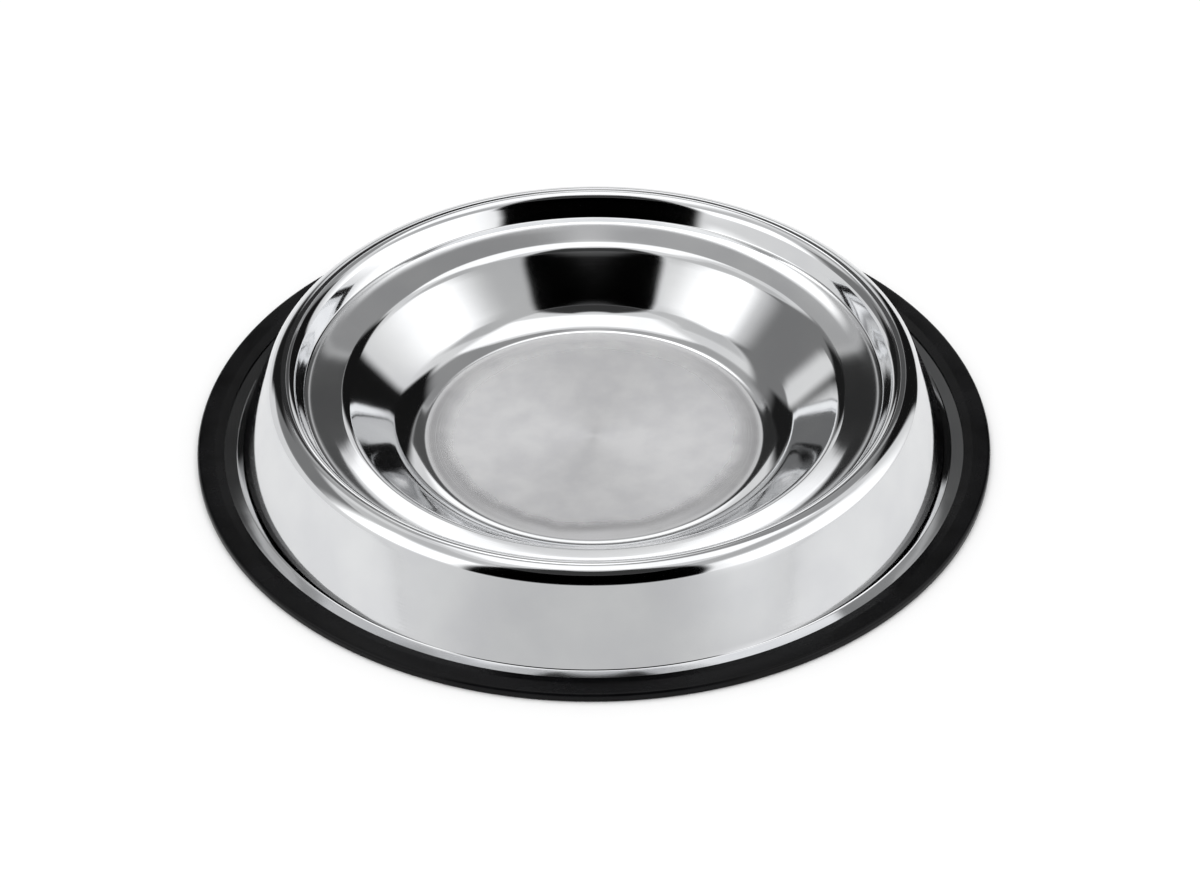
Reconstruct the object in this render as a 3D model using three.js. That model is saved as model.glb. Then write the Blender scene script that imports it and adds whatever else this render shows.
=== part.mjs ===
// Non-tip metal pet bowl, in millimetres, with +Z up.
// The origin is on the floor, at the middle of the base. The bowl is one steel
// pressing: a shallow well, a shoulder, a rolled rim, and a skirt that slopes
// out to a flat flange. A rubber ring grips the flange and is the foot.

import * as THREE from 'three';

// Ring: the widest piece, and the one that meets the floor
const ringOuterRadius = 127;
const ringEdgeWall = 1.5;
const lipThickness = 0.75;
const upperLipReach = 8.6;
const upperLipBevel = 2.9;
const upperLipTip = 0.3;
const lowerLipReach = 9.5;
const lowerLipBevel = 0.5;
const ringTopRounding = 1.1;
const ringFootRounding = 0.6;

// Clearance on every side of the flange in the ring's groove
const gripClearance = 0.3;

// Steel sheet
const sheetThickness = 0.7;

// Well: a flat floor and a sloping wall
const floorHeight = 3.6;
const floorFilletRadius = 11;
const wellWallAngle = 43.5;

// Shoulder: the ledge between the well and the upper wall, its edge measured in from the rim
const shoulderInset = 19.8;
const shoulderBendRadius = 4;
const shoulderAngle = 4;
const creaseRadius = 0.8;

// Rim: the crown at the top, measured in from the ring's outside, with a tight bend to the
// upper wall inside it and a wider one to the skirt outside
const rimInset = 29;
const rimHeight = 30.1;
const rimCrownWidth = 0.5;
const rimInnerBendRadius = 3.8;
const rimOuterBendRadius = 6.3;
const upperWallDepth = 7;
const upperWallAngle = 64;
const skirtAngle = 67.2;
const flangeFilletRadius = 1.5;

// Smoothness: flats round the axis, and how far an arc's chord may cut its curve
const turnSegments = 72;
const arcFlatness = 0.04;

const steel = new THREE.MeshStandardMaterial({ color: 0xd3d5d6, metalness: 1, roughness: 0.1 });
const rubber = new THREE.MeshStandardMaterial({ color: 0x0d0d0e, metalness: 0, roughness: 0.5 });

// A direction in the section plane, x outwards and y up, at an angle in degrees
function direction(degrees) {
  const angle = THREE.MathUtils.degToRad(degrees);
  return new THREE.Vector2(Math.cos(angle), Math.sin(angle));
}

// Where two lines of the section cross, each given by a point and a direction
function crossing(point, along, otherPoint, otherAlong) {
  const between = otherPoint.clone().sub(point);
  const share = between.cross(otherAlong) / along.cross(otherAlong);
  return point.clone().addScaledVector(along, share);
}

// The left-hand normal of a direction
function leftNormal(along) {
  return new THREE.Vector2(-along.y, along.x);
}

// The round of one corner: stations with a point and the normal on the left side
function cornerRound(before, corner, after, radius) {
  const inward = corner.clone().sub(before).normalize();
  const outward = after.clone().sub(corner).normalize();
  const turn = Math.atan2(inward.cross(outward), inward.dot(outward));
  const side = Math.sign(turn);
  const start = corner.clone().addScaledVector(inward, -radius * Math.tan(Math.abs(turn) / 2));
  const centre = start.clone().addScaledVector(leftNormal(inward), side * radius);
  const stepAngle = 2 * Math.acos(1 - arcFlatness / radius);
  const steps = Math.max(2, Math.ceil(Math.abs(turn) / stepAngle));
  const stations = [];
  for (let step = 0; step <= steps; step += 1) {
    const normal = leftNormal(inward).rotateAround(new THREE.Vector2(), (turn * step) / steps);
    stations.push({ point: centre.clone().addScaledVector(normal, -side * radius), normal });
  }
  return stations;
}

// A line through corners, each rounded by its own radius, as stations with normals
function roundedPath(corners) {
  const first = corners[0];
  const last = corners[corners.length - 1];
  const leave = corners[1].point.clone().sub(first.point).normalize();
  const arrive = last.point.clone().sub(corners[corners.length - 2].point).normalize();
  const stations = [{ point: first.point, normal: leftNormal(leave) }];
  for (let i = 1; i < corners.length - 1; i += 1) {
    const { point, radius } = corners[i];
    stations.push(...cornerRound(corners[i - 1].point, point, corners[i + 1].point, radius));
  }
  stations.push({ point: last.point, normal: leftNormal(arrive) });
  return stations;
}

// A closed outline with rounded corners, as points; a radius of 0 keeps a corner sharp
function roundedOutline(corners) {
  const count = corners.length;
  return corners.flatMap(({ point, radius }, i) => {
    if (radius === 0) {
      return [point];
    }
    const before = corners[(i + count - 1) % count].point;
    const after = corners[(i + 1) % count].point;
    return cornerRound(before, point, after, radius).map((station) => station.point);
  });
}

// A solid turned about the vertical axis from a section of (radius, height) points
function turned(name, section, material) {
  const geometry = new THREE.LatheGeometry(section, turnSegments);
  geometry.rotateX(Math.PI / 2);
  const mesh = new THREE.Mesh(geometry, material);
  mesh.name = name;
  return mesh;
}

// Heights and radii that the flange and the ring share
const flangeUnderside = lipThickness + gripClearance;
const flangeTop = flangeUnderside + sheetThickness;
const grooveTop = flangeTop + gripClearance;
const ringHeight = grooveTop + lipThickness;
const grooveRadius = ringOuterRadius - ringEdgeWall;
const flangeEdgeRadius = grooveRadius - gripClearance;

// Radii that follow the ring's
const rimRadius = ringOuterRadius - rimInset;
const shoulderEdgeRadius = rimRadius - shoulderInset;

// The visible side of the pressing, from the middle of the floor out to the flange's edge
function sheetCorners() {
  const upperWall = direction(upperWallAngle);
  const skirt = direction(-skirtAngle);
  const innerCentre = new THREE.Vector2(rimRadius - rimCrownWidth / 2, rimHeight - rimInnerBendRadius);
  const outerCentre = new THREE.Vector2(rimRadius + rimCrownWidth / 2, rimHeight - rimOuterBendRadius);
  const onUpperWall = innerCentre.addScaledVector(leftNormal(upperWall), rimInnerBendRadius);
  const onSkirt = outerCentre.addScaledVector(leftNormal(skirt), rimOuterBendRadius);

  const level = new THREE.Vector2(1, 0);
  const crownLevel = new THREE.Vector2(0, rimHeight);
  const creaseHeight = new THREE.Vector2(0, rimHeight - upperWallDepth);
  const crease = crossing(onUpperWall, upperWall, creaseHeight, level);
  const shoulderLine = direction(shoulderAngle);
  const shoulderStart = new THREE.Vector2(shoulderEdgeRadius, 0);
  const shoulderEdge = crossing(crease, shoulderLine, shoulderStart, new THREE.Vector2(0, 1));
  const floorLevel = new THREE.Vector2(0, floorHeight);
  const floorEdge = crossing(shoulderEdge, direction(wellWallAngle), floorLevel, level);
  const flangeLevel = new THREE.Vector2(0, flangeTop);

  return [
    { point: floorLevel },
    { point: floorEdge, radius: floorFilletRadius },
    { point: shoulderEdge, radius: shoulderBendRadius },
    { point: crease, radius: creaseRadius },
    { point: crossing(onUpperWall, upperWall, crownLevel, level), radius: rimInnerBendRadius },
    { point: crossing(onSkirt, skirt, crownLevel, level), radius: rimOuterBendRadius },
    { point: crossing(onSkirt, skirt, flangeLevel, level), radius: flangeFilletRadius },
    { point: new THREE.Vector2(flangeEdgeRadius, flangeTop) },
  ];
}

// The pressing: the visible side, and the same line again one sheet thickness below it
function steelBowl() {
  const stations = roundedPath(sheetCorners());
  const above = stations.map(({ point }) => point);
  const below = stations.map(({ point, normal }) => point.clone().addScaledVector(normal, -sheetThickness));
  return turned('steel_bowl', [...below, ...above.reverse()], steel);
}

// The ring: a C section, open inwards, whose two lips close over and under the flange
function rubberRing() {
  const upperLipRadius = ringOuterRadius - upperLipReach;
  const lowerLipRadius = ringOuterRadius - lowerLipReach;
  const corners = [
    [lowerLipRadius, 0, lowerLipBevel],
    [ringOuterRadius, 0, ringFootRounding],
    [ringOuterRadius, ringHeight, ringTopRounding],
    [upperLipRadius + upperLipBevel, ringHeight, upperLipTip],
    [upperLipRadius, grooveTop + upperLipTip, 0],
    [upperLipRadius, grooveTop, 0],
    [grooveRadius, grooveTop, 0],
    [grooveRadius, lipThickness, 0],
    [lowerLipRadius, lipThickness, 0],
  ];
  const outline = roundedOutline(
    corners.map(([x, y, radius]) => ({ point: new THREE.Vector2(x, y), radius })),
  );
  return turned('rubber_ring', [...outline, outline[0].clone()], rubber);
}

const bowl = new THREE.Group();
bowl.add(steelBowl(), rubberRing());

export default bowl;
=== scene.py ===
import math

import bpy
from mathutils import Matrix, Vector


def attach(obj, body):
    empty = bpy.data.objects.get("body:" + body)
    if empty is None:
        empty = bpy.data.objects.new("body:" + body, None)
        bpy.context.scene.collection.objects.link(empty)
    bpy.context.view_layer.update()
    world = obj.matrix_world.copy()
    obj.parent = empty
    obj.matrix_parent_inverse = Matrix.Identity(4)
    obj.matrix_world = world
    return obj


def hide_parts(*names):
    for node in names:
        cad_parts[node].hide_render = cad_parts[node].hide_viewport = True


# A non-tip steel pet bowl on its rubber ring, seen as in a product photograph.
# Lengths in the settings are millimetres and angles are degrees. The studio's are metres.

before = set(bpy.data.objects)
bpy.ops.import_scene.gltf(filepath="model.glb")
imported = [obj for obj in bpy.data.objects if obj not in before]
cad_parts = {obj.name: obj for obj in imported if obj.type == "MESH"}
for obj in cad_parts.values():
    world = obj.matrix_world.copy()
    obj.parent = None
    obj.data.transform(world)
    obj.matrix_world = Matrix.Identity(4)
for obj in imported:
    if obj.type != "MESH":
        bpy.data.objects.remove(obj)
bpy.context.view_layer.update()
print("frame loaded:", sorted(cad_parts))

mm = 0.001
sameSpot = 0.01  # two places closer than this are one corner
weldDistance = 0.002  # closes the seam and the pole of a spun piece


def linearColour(hexText):
    # sRGB hex to the linear colour that a shader takes
    parts = [int(hexText[i:i + 2], 16) / 255 for i in (1, 3, 5)]
    return (*[p / 12.92 if p <= 0.04045 else ((p + 0.055) / 1.055) ** 2.4 for p in parts], 1.0)


def addNode(tree, kind, settings=None, inputs=None):
    # one node with its settings; an input is a value or the output that feeds it
    node = tree.nodes.new(kind)
    for key, value in (settings or {}).items():
        setattr(node, key, value)
    for key, value in (inputs or {}).items():
        if isinstance(value, bpy.types.NodeSocket):
            tree.links.new(value, node.inputs[key])
        else:
            node.inputs[key].default_value = value
    return node


def newMaterial(name):
    material = bpy.data.materials.new(name)
    material.use_nodes = True
    tree = material.node_tree
    tree.nodes.clear()
    return material, tree


def deselectAll():
    if bpy.context.object and bpy.context.object.mode != "OBJECT":
        bpy.ops.object.mode_set(mode="OBJECT")
    bpy.ops.object.select_all(action="DESELECT")


def selectVertices(test):
    # picks vertices of the mesh in edit mode by a test on their place in millimetres
    bpy.ops.mesh.select_all(action="DESELECT")
    bpy.ops.object.mode_set(mode="OBJECT")
    mesh = bpy.context.object.data
    for vertex in mesh.vertices:
        vertex.select = test(vertex.co / mm)
    bpy.ops.object.mode_set(mode="EDIT")


def drawProfile(name, corners, closed):
    # a section line: one vertex is extruded from corner to corner, then each corner is bevelled round
    deselectAll()
    start = corners[0]
    bpy.ops.mesh.primitive_plane_add(size=mm, location=(0, 0, 0))
    profile = bpy.context.object
    profile.name = name
    bpy.ops.object.mode_set(mode="EDIT")
    bpy.ops.mesh.merge(type="CENTER")
    bpy.ops.transform.translate(value=(start[0] * mm, 0, start[1] * mm))
    for before, after in zip(corners, corners[1:]):
        step = ((after[0] - before[0]) * mm, 0, (after[1] - before[1]) * mm)
        bpy.ops.mesh.extrude_vertices_move(TRANSFORM_OT_translate={"value": step})
    if closed:
        ends = (corners[0], corners[-1])
        selectVertices(lambda co: any(math.hypot(co.x - end[0], co.z - end[1]) < sameSpot for end in ends))
        bpy.ops.mesh.edge_face_add()
    count = len(corners)
    for i, (radius, height, bend, segments) in enumerate(corners):
        if bend == 0:
            continue
        before = corners[(i - 1) % count]
        after = corners[(i + 1) % count]
        inward = Vector((radius - before[0], height - before[1])).normalized()
        outward = Vector((after[0] - radius, after[1] - height)).normalized()
        turn = abs(inward.angle_signed(outward))
        selectVertices(lambda co: math.hypot(co.x - radius, co.z - height) < sameSpot)
        reach = bend * mm * math.tan(turn / 2)
        bpy.ops.mesh.bevel(offset=reach, segments=segments, affect="VERTICES", profile=0.5)
    return profile


def edgeLength(mesh, edge):
    ends = [mesh.vertices[i].co for i in edge.vertices]
    return (ends[0] - ends[1]).length / mm


def cutStraights(spacing):
    # long straights are halved until none is over twice the spacing, so that shading stays flat on them
    bpy.ops.object.mode_set(mode="OBJECT")
    mesh = bpy.context.object.data
    while max(edgeLength(mesh, edge) for edge in mesh.edges) > spacing * 2:
        bpy.ops.object.mode_set(mode="EDIT")
        bpy.ops.mesh.select_all(action="DESELECT")
        bpy.ops.mesh.select_mode(type="EDGE")
        bpy.ops.object.mode_set(mode="OBJECT")
        for edge in mesh.edges:
            edge.select = edgeLength(mesh, edge) > spacing * 2
        bpy.ops.object.mode_set(mode="EDIT")
        bpy.ops.mesh.subdivide(number_cuts=1)
        bpy.ops.object.mode_set(mode="OBJECT")
    bpy.ops.object.mode_set(mode="EDIT")
    bpy.ops.mesh.select_mode(type="VERT")


def spinRound(turnSteps):
    # one full turn about the upright axis; the seam and the pole are merged and faces point outwards
    bpy.ops.mesh.select_all(action="SELECT")
    bpy.ops.mesh.spin(steps=turnSteps, angle=math.tau, center=(0, 0, 0), axis=(0, 0, 1))
    bpy.ops.mesh.select_all(action="SELECT")
    bpy.ops.mesh.remove_doubles(threshold=weldDistance * mm)
    bpy.ops.mesh.normals_make_consistent(inside=False)
    bpy.ops.object.mode_set(mode="OBJECT")
    bpy.ops.object.shade_smooth()


# The steel bowl is one pressing, spun from its section and thickened downwards.
bowlShape = {
    # the well: a slightly dished floor and a sloping wall
    "floorHeight": 3.6, "floorDish": 1.2, "dishRadius": 26, "dishBend": 1200,
    "floorFillet": 16, "wellAngle": 42,
    # the shoulder, which levels out in a gentle crown, and the crease at its outer end
    "shoulderRadius": 79, "shoulderBend": 7, "shoulderInnerAngle": 12, "shoulderOuterAngle": 5,
    "shoulderCrownRadius": 88, "shoulderCrownBend": 40, "creaseBend": 0.8,
    # the rim, with the upper wall inside it and the skirt outside it
    "rimRadius": 98, "rimHeight": 30.1, "rimCrown": 0.5, "rimInnerBend": 3.8, "rimOuterBend": 6.3,
    "upperWallDepth": 7, "upperWallAngle": 64, "skirtAngle": 67.2,
    # the flange that the ring grips
    "footFillet": 0.5, "flangeTop": 1.75, "flangeEdge": 125.2,
    "sheet": 0.7, "turnSteps": 240, "straightSpacing": 1.6,
}
bowlBendSegments = {
    "dish": 12, "floorEdge": 16, "shoulder": 14, "shoulderCrown": 10, "crease": 6,
    "rimInside": 20, "rimOutside": 24, "foot": 10,
}


def sectionDirection(angle):
    return Vector((math.cos(math.radians(angle)), math.sin(math.radians(angle))))


def lineCrossing(point, angle, otherPoint, otherAngle):
    # where two lines of the section meet
    along = sectionDirection(angle)
    otherAlong = sectionDirection(otherAngle)
    gap = Vector(otherPoint) - Vector(point)
    return Vector(point) + gap.cross(otherAlong) / along.cross(otherAlong) * along


def bowlCorners():
    # corners of the visible side, from the middle of the floor out to the flange's edge
    s = bowlShape
    segments = bowlBendSegments
    crown = (0, s["rimHeight"])
    innerCentre = Vector((s["rimRadius"] - s["rimCrown"] / 2, s["rimHeight"] - s["rimInnerBend"]))
    outerCentre = Vector((s["rimRadius"] + s["rimCrown"] / 2, s["rimHeight"] - s["rimOuterBend"]))
    onWall = innerCentre + s["rimInnerBend"] * sectionDirection(s["upperWallAngle"] + 90)
    onSkirt = outerCentre + s["rimOuterBend"] * sectionDirection(90 - s["skirtAngle"])
    crease = lineCrossing(onWall, s["upperWallAngle"], (0, s["rimHeight"] - s["upperWallDepth"]), 0)
    shoulderCrown = lineCrossing(crease, s["shoulderOuterAngle"], (s["shoulderCrownRadius"], 0), 90)
    shoulder = lineCrossing(shoulderCrown, s["shoulderInnerAngle"], (s["shoulderRadius"], 0), 90)
    floorEdge = lineCrossing(shoulder, s["wellAngle"], (0, s["floorHeight"]), 0)
    rimInside = lineCrossing(onWall, s["upperWallAngle"], crown, 0)
    rimOutside = lineCrossing(onSkirt, -s["skirtAngle"], crown, 0)
    foot = lineCrossing(onSkirt, -s["skirtAngle"], (0, s["flangeTop"]), 0)
    # radius, height, bend radius, segments of the bend
    return [
        (0, s["floorHeight"] - s["floorDish"], 0, 0),
        (s["dishRadius"], s["floorHeight"] - s["floorDish"], s["dishBend"], segments["dish"]),
        (*floorEdge, s["floorFillet"], segments["floorEdge"]),
        (*shoulder, s["shoulderBend"], segments["shoulder"]),
        (*shoulderCrown, s["shoulderCrownBend"], segments["shoulderCrown"]),
        (*crease, s["creaseBend"], segments["crease"]),
        (*rimInside, s["rimInnerBend"], segments["rimInside"]),
        (*rimOutside, s["rimOuterBend"], segments["rimOutside"]),
        (*foot, s["footFillet"], segments["foot"]),
        (s["flangeEdge"], s["flangeTop"], 0, 0),
    ]


def buildBowl():
    s = bowlShape
    bowl = drawProfile("pressed_steel_bowl", bowlCorners(), closed=False)
    cutStraights(s["straightSpacing"])
    spinRound(s["turnSteps"])
    sheet = bowl.modifiers.new("sheet", "SOLIDIFY")
    sheet.thickness = s["sheet"] * mm
    sheet.offset = -1
    sheet.use_even_offset = True
    bpy.ops.object.modifier_apply(modifier=sheet.name)
    bpy.ops.object.shade_smooth()
    return bowl


bowl = buildBowl()
print("bowl:", len(bowl.data.polygons), "faces")


# The rubber ring is a closed C section that grips the flange above and below.
ringShape = {
    "outer": 127, "height": 2.8, "edgeWall": 1.5, "lip": 0.75,
    "upperLipEdge": 118.4, "upperLipTop": 121.3, "upperLipTip": 0.3, "lowerLipEdge": 117.5,
    "topRounding": 1.1, "lipRounding": 0.5, "footRounding": 0.6, "lowerLipRounding": 0.45,
    "turnSteps": 240, "smoothAngle": 30,
}
ringBendSegments = {"top": 8, "lip": 4, "foot": 5, "lowerLip": 4}


def buildRing():
    s = ringShape
    segments = ringBendSegments
    groove = s["outer"] - s["edgeWall"]
    grooveTop = s["height"] - s["lip"]
    # radius, height, bend radius, segments of the bend
    corners = [
        (s["lowerLipEdge"], 0, s["lowerLipRounding"], segments["lowerLip"]),
        (s["outer"], 0, s["footRounding"], segments["foot"]),
        (s["outer"], s["height"], s["topRounding"], segments["top"]),
        (s["upperLipTop"], s["height"], s["lipRounding"], segments["lip"]),
        (s["upperLipEdge"], grooveTop + s["upperLipTip"], 0, 0),
        (s["upperLipEdge"], grooveTop, 0, 0),
        (groove, grooveTop, 0, 0),
        (groove, s["lip"], 0, 0),
        (s["lowerLipEdge"], s["lip"], 0, 0),
    ]
    ring = drawProfile("moulded_rubber_ring", corners, closed=True)
    spinRound(s["turnSteps"])
    deselectAll()
    ring.select_set(True)
    bpy.context.view_layer.objects.active = ring
    bpy.ops.object.shade_smooth_by_angle(angle=math.radians(s["smoothAngle"]))
    return ring


ring = buildRing()
print("ring:", len(ring.data.polygons), "faces")


def radiusFromAxis(tree, place):
    # distance from the upright axis, in metres
    parts = addNode(tree, "ShaderNodeSeparateXYZ", inputs={"Vector": place})
    flat = addNode(tree, "ShaderNodeCombineXYZ", inputs={"X": parts.outputs["X"], "Y": parts.outputs["Y"]})
    length = addNode(tree, "ShaderNodeVectorMath", {"operation": "LENGTH"}, {0: flat.outputs["Vector"]})
    return length.outputs["Value"]


mottleEdges = (0.35, 0.65)  # where a noise has wholly turned dark and wholly turned light


def mottledColour(tree, amount, light, dark):
    # a tone that wanders between two near colours with a noise
    ramp = addNode(tree, "ShaderNodeValToRGB", inputs={"Fac": amount})
    for element, position, colour in zip(ramp.color_ramp.elements, mottleEdges, (dark, light)):
        element.position = position
        element.color = linearColour(colour)
    return ramp.outputs["Color"]


# Stainless steel, pressed and mirror polished while it turns: reflections stay sharp, with the
# faint waves that pressing leaves, fine lines round the axis and slightly hazier patches.
# Real polishing lines lie closer than 0.1 mm and wouldn't show, so these are coarser.
mirrorSteel = {
    "colour": "#dadbdc", "darkColour": "#d3d4d6", "roughness": 0.06, "haze": 0.05, "hazeSize": 22,
    "waveSize": 16, "wave": 0.012, "lineSpacing": 0.8, "lineDepth": 0.0012,
}


def makeMirrorSteel():
    look = mirrorSteel
    material, tree = newMaterial("mirror_polished_stainless_steel")
    place = addNode(tree, "ShaderNodeTexCoord").outputs["Object"]
    patches = addNode(tree, "ShaderNodeTexNoise", inputs={
        "Vector": place, "Scale": 1 / (look["hazeSize"] * mm), "Detail": 3.0})
    rough = addNode(tree, "ShaderNodeMath", {"operation": "MULTIPLY_ADD"}, {
        0: patches.outputs["Fac"], 1: look["haze"], 2: look["roughness"] - look["haze"] / 2})
    waves = addNode(tree, "ShaderNodeTexNoise", inputs={
        "Vector": place, "Scale": 1 / (look["waveSize"] * mm), "Detail": 2.0})
    waveBump = addNode(tree, "ShaderNodeBump", inputs={
        "Strength": 1.0, "Distance": look["wave"] * mm, "Height": waves.outputs["Fac"]})
    # the lines depend on radius and height alone, so they run round the axis
    parts = addNode(tree, "ShaderNodeSeparateXYZ", inputs={"Vector": place})
    section = addNode(tree, "ShaderNodeCombineXYZ", inputs={
        "X": radiusFromAxis(tree, place), "Z": parts.outputs["Z"]})
    lines = addNode(tree, "ShaderNodeTexNoise", inputs={
        "Vector": section.outputs["Vector"], "Scale": 1 / (look["lineSpacing"] * mm), "Detail": 2.0})
    lineBump = addNode(tree, "ShaderNodeBump", inputs={
        "Strength": 1.0, "Distance": look["lineDepth"] * mm, "Height": lines.outputs["Fac"],
        "Normal": waveBump.outputs["Normal"]})
    shader = addNode(tree, "ShaderNodeBsdfPrincipled", inputs={
        "Base Color": mottledColour(tree, patches.outputs["Fac"], look["colour"], look["darkColour"]),
        "Metallic": 1.0, "Roughness": rough.outputs[0], "Normal": lineBump.outputs["Normal"]})
    addNode(tree, "ShaderNodeOutputMaterial", inputs={"Surface": shader.outputs["BSDF"]})
    return material


# Stainless steel, circular satin finish: the floor's disc is brushed round its middle, so
# highlights open into a bow tie. The brushing runs out into the polish towards the disc's edge.
# Real brush lines lie about 0.1 mm apart, and these are coarser so that they show.
satinSteel = {
    # partly painted light: the disc's near-white tone, lighter than the polished steel's, is a painted
    # brightening for the light the disc catches; its mottle is random tone
    "colour": "#f6f6f7", "darkColour": "#ededef",
    "roughness": 0.34, "polishedRoughness": 0.07, "anisotropy": 0.25,
    "brushedRadius": 42, "polishedRadius": 52, "patchSize": 9, "patchRoughness": 0.1,
    "edgeCloudsPerMetre": 45, "edgeWander": 4,
    "brushSpacing": 0.35, "brushDepth": 0.003,
}


def makeSatinSteel():
    look = satinSteel
    material, tree = newMaterial("circular_brushed_stainless_steel")
    place = addNode(tree, "ShaderNodeTexCoord").outputs["Object"]
    radius = radiusFromAxis(tree, place)
    clouds = addNode(tree, "ShaderNodeTexNoise", inputs={
        "Vector": place, "Scale": look["edgeCloudsPerMetre"], "Detail": 3.0})
    wander = addNode(tree, "ShaderNodeMath", {"operation": "MULTIPLY_ADD"}, {
        0: clouds.outputs["Fac"], 1: look["edgeWander"] * mm, 2: radius})
    runOut = addNode(tree, "ShaderNodeMapRange", {"interpolation_type": "SMOOTHSTEP"}, {
        "Value": wander.outputs[0],
        "From Min": (look["brushedRadius"] + look["edgeWander"] / 2) * mm,
        "From Max": (look["polishedRadius"] + look["edgeWander"] / 2) * mm,
        "To Min": look["roughness"], "To Max": look["polishedRoughness"]})
    patches = addNode(tree, "ShaderNodeTexNoise", inputs={
        "Vector": place, "Scale": 1 / (look["patchSize"] * mm), "Detail": 4.0})
    patchShift = addNode(tree, "ShaderNodeMath", {"operation": "SUBTRACT"}, {
        0: patches.outputs["Fac"], 1: 0.5})
    rough = addNode(tree, "ShaderNodeMath", {"operation": "MULTIPLY_ADD"}, {
        0: patchShift.outputs[0], 1: look["patchRoughness"], 2: runOut.outputs["Result"]})
    # the grooves depend on the radius alone, so they are rings
    groove = addNode(tree, "ShaderNodeCombineXYZ", inputs={"X": radius})
    grooves = addNode(tree, "ShaderNodeTexNoise", inputs={
        "Vector": groove.outputs["Vector"], "Scale": 1 / (look["brushSpacing"] * mm), "Detail": 3.0})
    bump = addNode(tree, "ShaderNodeBump", inputs={
        "Strength": 1.0, "Distance": look["brushDepth"] * mm, "Height": grooves.outputs["Fac"]})
    tangent = addNode(tree, "ShaderNodeTangent", {"direction_type": "RADIAL", "axis": "Z"})
    # the base colour carries the painted brightening of the disc as well as its random mottle
    shader = addNode(tree, "ShaderNodeBsdfPrincipled", inputs={
        "Base Color": mottledColour(tree, patches.outputs["Fac"], look["colour"], look["darkColour"]),
        "Metallic": 1.0, "Roughness": rough.outputs[0],
        "Anisotropic": look["anisotropy"], "Tangent": tangent.outputs["Tangent"],
        "Normal": bump.outputs["Normal"]})
    addNode(tree, "ShaderNodeOutputMaterial", inputs={"Surface": shader.outputs["BSDF"]})
    return material


# Natural rubber, moulded: deep black, slightly mottled by wear, with the fine grain of the mould,
# so that its flat top has a soft, uneven sheen. The grain is coarser than the real 0.2 mm, to show.
mouldedRubber = {
    "colour": "#08080a", "darkColour": "#020203", "roughness": 0.26, "roughnessSpread": 0.14,
    "specular": 0.14, "patchSize": 12, "grainSize": 0.7, "grainDepth": 0.012,
}


def makeRubber():
    look = mouldedRubber
    material, tree = newMaterial("moulded_black_rubber")
    place = addNode(tree, "ShaderNodeTexCoord").outputs["Object"]
    patches = addNode(tree, "ShaderNodeTexNoise", inputs={
        "Vector": place, "Scale": 1 / (look["patchSize"] * mm), "Detail": 4.0})
    rough = addNode(tree, "ShaderNodeMath", {"operation": "MULTIPLY_ADD"}, {
        0: patches.outputs["Fac"], 1: look["roughnessSpread"],
        2: look["roughness"] - look["roughnessSpread"] / 2})
    grain = addNode(tree, "ShaderNodeTexNoise", inputs={
        "Vector": place, "Scale": 1 / (look["grainSize"] * mm), "Detail": 2.0})
    bump = addNode(tree, "ShaderNodeBump", inputs={
        "Strength": 1.0, "Distance": look["grainDepth"] * mm, "Height": grain.outputs["Fac"]})
    shader = addNode(tree, "ShaderNodeBsdfPrincipled", inputs={
        "Base Color": mottledColour(tree, patches.outputs["Fac"], look["colour"], look["darkColour"]),
        "Metallic": 0.0, "Roughness": rough.outputs[0], "Specular IOR Level": look["specular"],
        "Normal": bump.outputs["Normal"]})
    addNode(tree, "ShaderNodeOutputMaterial", inputs={"Surface": shader.outputs["BSDF"]})
    return material


def assignWhere(piece, slotIndex, test):
    # gives the faces whose middle passes the test the material of that slot
    deselectAll()
    piece.select_set(True)
    bpy.context.view_layer.objects.active = piece
    bpy.ops.object.mode_set(mode="EDIT")
    bpy.ops.mesh.select_mode(type="FACE")
    bpy.ops.mesh.select_all(action="DESELECT")
    bpy.ops.object.mode_set(mode="OBJECT")
    for face in piece.data.polygons:
        face.select = test(face.center / mm, face.normal.z)
    bpy.ops.object.mode_set(mode="EDIT")
    piece.active_material_index = slotIndex
    bpy.ops.object.material_slot_assign()
    bpy.ops.object.mode_set(mode="OBJECT")


bowl.data.materials.append(makeMirrorSteel())
bowl.data.materials.append(makeSatinSteel())
floorDiscRadius = 53.5
facesUp = 0.5  # the sheet's underside looks down and stays polished
assignWhere(bowl, 1, lambda co, upwards: math.hypot(co.x, co.y) < floorDiscRadius and upwards > facesUp)
ring.data.materials.append(makeRubber())
print("materials made")

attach(bowl, "root")
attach(ring, "root")
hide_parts("steel_bowl")
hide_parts("rubber_ring")


# The camera looks down at the bowl from the front. The bowl's middle lands on the target pixel.
viewSettings = {
    "elevation": 38.02, "roll": -0.41, "distance": 1500, "pixelsPerMm": 3.113,
    "targetX": 593.9, "targetY": 441.6, "imageWidth": 1200, "imageHeight": 888,
    "sensor": 36, "nearest": 50, "farthest": 50000,
}


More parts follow.
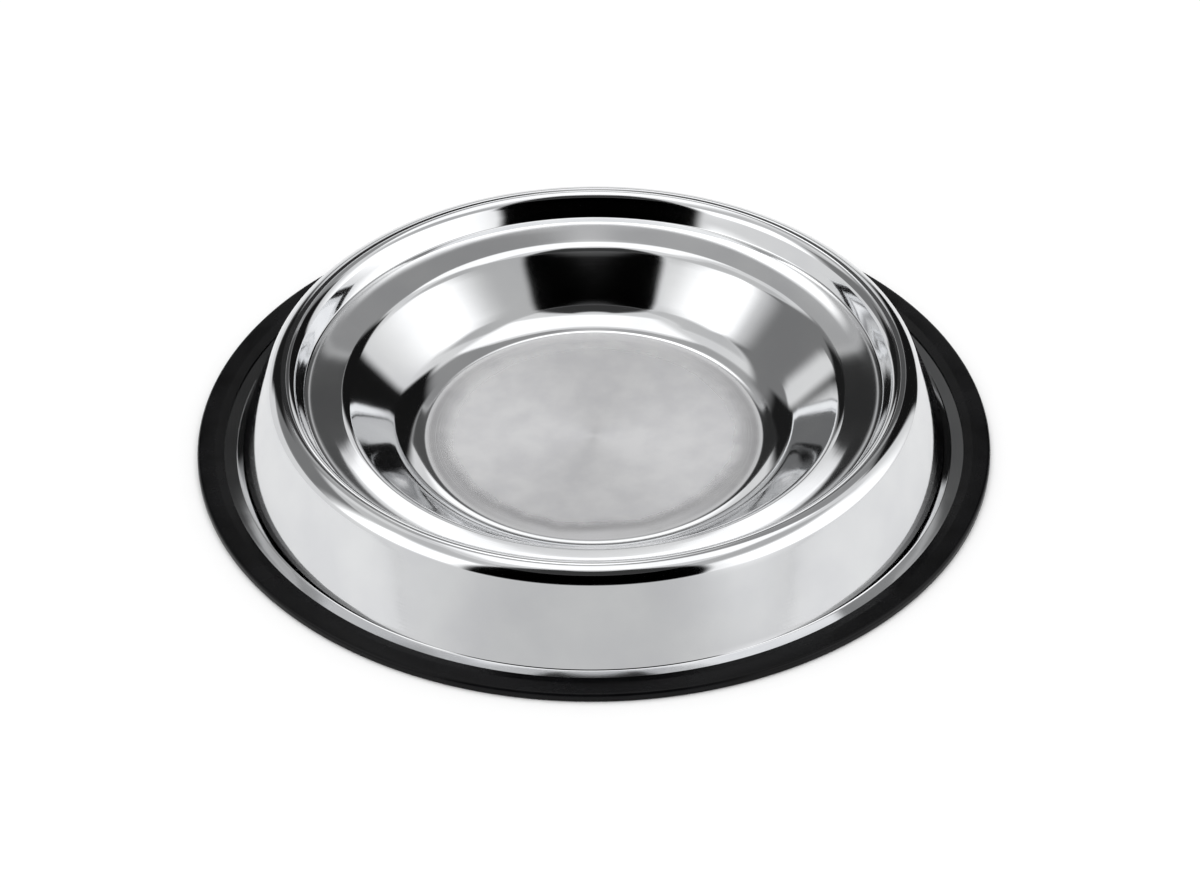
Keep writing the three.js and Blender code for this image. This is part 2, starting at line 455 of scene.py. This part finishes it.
def addCamera():
    s = viewSettings
    focal = s["pixelsPerMm"] * s["distance"]
    elevation = math.radians(s["elevation"])
    forward = Vector((0, math.cos(elevation), -math.sin(elevation)))
    right = Vector((1, 0, 0))
    up = right.cross(forward)
    place = -forward * s["distance"] * mm
    yaw = math.atan((s["targetX"] - s["imageWidth"] / 2) / focal)
    pitch = math.atan((s["targetY"] - s["imageHeight"] / 2) / focal * math.cos(yaw))
    turnYaw = Matrix.Rotation(yaw, 3, up)
    forward = turnYaw @ forward
    right = turnYaw @ right
    turnPitch = Matrix.Rotation(pitch, 3, right)
    forward = turnPitch @ forward
    up = turnPitch @ up
    roll = math.radians(s["roll"])
    side = math.cos(roll) * right + math.sin(roll) * up
    top = -math.sin(roll) * right + math.cos(roll) * up
    bpy.ops.object.camera_add()
    camera = bpy.context.object
    camera.data.sensor_width = s["sensor"]
    camera.data.lens = focal / s["imageWidth"] * s["sensor"]
    camera.data.clip_start = s["nearest"] * mm
    camera.data.clip_end = s["farthest"] * mm
    turn = Matrix((side, top, -forward)).transposed()
    camera.matrix_world = Matrix.Translation(place) @ turn.to_4x4()
    bpy.context.scene.camera = camera


addCamera()
print("camera placed")


# The studio is a white floor, even air, and the soft boxes, walls and flags that the steel mirrors.
# Each card: the directions of its corners from the bowl as (azimuth, elevation), its brightness,
# the soft share of its width and of its height, its distance, and whether it curves round the bowl.
studioCards = {
    "overhead_softbox": ([(268, 72), (96, 66), (48, 52), (330, 58)], 1.5, 0.12, 0.12, 2.0, False),
    "right_softbox": ([(48, 0), (160, 0), (150, 56), (60, 52)], 1.7, 0.30, 0.18, 2.1, True),
    "right_upper_glow": ([(60, 38), (148, 42), (140, 70), (65, 68)], 0.6, 0.12, 0.12, 2.15, True),
    "left_softbox": ([(220, 14), (274, 14), (278, 58), (222, 60)], 1.7, 0.16, 0.20, 2.1, True),
    "left_upper_glow": ([(222, 50), (318, 48), (300, 70), (228, 70)], 0.7, 0.12, 0.12, 2.12, True),
    "left_back_wall": ([(268, 18), (346, 18), (346, 48), (275, 52)], 0.25, 0.2, 0.15, 2.2, True),
    "left_back_flag": ([(314, 6), (345, 6), (345, 44), (318, 40)], 0.015, 0.2, 0.2, 2.15, True),
    "back_left_wall": ([(-24, 24), (1, 29), (1, 41), (-24, 41)], 0.035, 0.15, 0.12, 2.1, True),
    "back_right_wall": ([(-1, 29), (22, 27), (22, 41), (-1, 41)], 0.10, 0.15, 0.12, 2.09, True),
    "back_upper_left_wall": ([(-34, 40), (4, 40), (4, 60), (-34, 60)], 0.5, 0.2, 0.06, 2.2, True),
    "back_upper_right_wall": ([(-2, 40), (45, 40), (48, 60), (-2, 60)], 0.36, 0.15, 0.06, 2.18, True),
    "back_glow": ([(-13, 41.5), (7, 41.5), (7, 51), (-13, 51)], 2.2, 0.4, 0.35, 2.08, True),
    "back_window": ([(-9, 17), (14, 17), (14, 28), (-9, 28)], 1.5, 0.2, 0.12, 2.16, True),
    "back_shelf": ([(-30, 9), (30, 9), (30, 15), (-30, 15)], 0.22, 0.15, 0.2, 2.14, True),
    "right_back_flag": ([(18, -3), (54, -3), (54, 50), (18, 46)], 0.01, 0.15, 0.12, 2.07, True),
    "front_ceiling": ([(128, 62), (232, 62), (250, 86), (110, 86)], 0.05, 0.12, 0.15, 1.9, True),
    "front_low_wall": ([(125, -8), (240, -8), (240, 13), (125, 13)], 0.72, 0.35, 0.15, 1.95, True),
    "camera_flag": ([(145, 9), (222, 9), (229, 67), (131, 67)], 0.0, 0.06, 0.08, 1.8, True),
}
cardSteps = 24
studioFloor = {"size": 12, "white": 0.92}
studioAir = 0.92
floorLight = {"height": 2.0, "behind": 0.2, "size": 2.4, "watts": 14}


def skyDirection(azimuth, elevation):
    # azimuth clockwise from +Y as seen from above, elevation above the horizon
    a = math.radians(azimuth)
    e = math.radians(elevation)
    return Vector((math.cos(e) * math.sin(a), math.cos(e) * math.cos(a), math.sin(e)))


def softCardMaterial(name, brightness, softEdges):
    # light from a diffuser: even in the middle and fading out along its edges
    material, tree = newMaterial(name)
    place = addNode(tree, "ShaderNodeUVMap").outputs["UV"]
    parts = addNode(tree, "ShaderNodeSeparateXYZ", inputs={"Vector": place})
    fades = []
    for axis, softEdge in zip(("X", "Y"), softEdges):
        middle = addNode(tree, "ShaderNodeMath", {"operation": "SUBTRACT"}, {0: parts.outputs[axis], 1: 0.5})
        away = addNode(tree, "ShaderNodeMath", {"operation": "ABSOLUTE"}, {0: middle.outputs[0]})
        fades.append(addNode(tree, "ShaderNodeMapRange", {"interpolation_type": "SMOOTHSTEP"}, {
            "Value": away.outputs[0], "From Min": 0.5 - softEdge, "From Max": 0.5,
            "To Min": 1.0, "To Max": 0.0}))
    cover = addNode(tree, "ShaderNodeMath", {"operation": "MULTIPLY"},
                    {0: fades[0].outputs["Result"], 1: fades[1].outputs["Result"]})
    light = addNode(tree, "ShaderNodeEmission", inputs={"Color": (1, 1, 1, 1), "Strength": brightness})
    clear = addNode(tree, "ShaderNodeBsdfTransparent")
    mix = addNode(tree, "ShaderNodeMixShader", inputs={
        0: cover.outputs[0], 1: clear.outputs[0], 2: light.outputs[0]})
    addNode(tree, "ShaderNodeOutputMaterial", inputs={"Surface": mix.outputs[0]})
    return material


def between(corners, u, v):
    # a place inside four corners that go round, by its shares of the width and the height
    low = corners[0] * (1 - u) + corners[1] * u
    high = corners[3] * (1 - u) + corners[2] * u
    return low * (1 - v) + high * v


def addCard(name, corners, brightness, softWidth, softHeight, distance, curved):
    # a card whose corners lie in the given directions; only reflections see it
    deselectAll()
    bpy.ops.mesh.primitive_grid_add(x_subdivisions=cardSteps, y_subdivisions=cardSteps, size=1)
    card = bpy.context.object
    card.name = name
    angles = [Vector(corner) for corner in corners]
    ends = [skyDirection(*corner) * distance for corner in corners]
    for vertex in card.data.vertices:
        u, v = vertex.co.x + 0.5, vertex.co.y + 0.5
        vertex.co = skyDirection(*between(angles, u, v)) * distance if curved else between(ends, u, v)
    card.data.materials.append(softCardMaterial(name + "_light", brightness, (softWidth, softHeight)))
    card.visible_camera = False
    card.visible_diffuse = False
    card.visible_shadow = False


def addStudio():
    deselectAll()
    bpy.ops.mesh.primitive_plane_add(size=studioFloor["size"])
    floor = bpy.context.object
    floor.name = "studio_floor"
    material, tree = newMaterial("matt_white_paper")
    white = studioFloor["white"]
    paper = addNode(tree, "ShaderNodeBsdfDiffuse", inputs={"Color": (white, white, white, 1)})
    addNode(tree, "ShaderNodeOutputMaterial", inputs={"Surface": paper.outputs["BSDF"]})
    floor.data.materials.append(material)

    world = bpy.data.worlds.new("studio_air")
    world.use_nodes = True
    background = world.node_tree.nodes["Background"]
    background.inputs["Color"].default_value = (studioAir, studioAir, studioAir, 1)
    bpy.context.scene.world = world

    bpy.ops.object.light_add(type="AREA", location=(0, floorLight["behind"], floorLight["height"]))
    overhead = bpy.context.object
    overhead.name = "floor_light"
    overhead.data.shape = "SQUARE"
    overhead.data.size = floorLight["size"]
    overhead.data.energy = floorLight["watts"]
    overhead.visible_glossy = False
    overhead.visible_camera = False

    for name, card in studioCards.items():
        addCard(name, *card)


addStudio()
print("studio made")

sceneView = bpy.context.scene.view_settings
sceneView.view_transform = "Standard"
sceneView.look = "None"
sceneView.exposure = 0
sceneView.gamma = 1
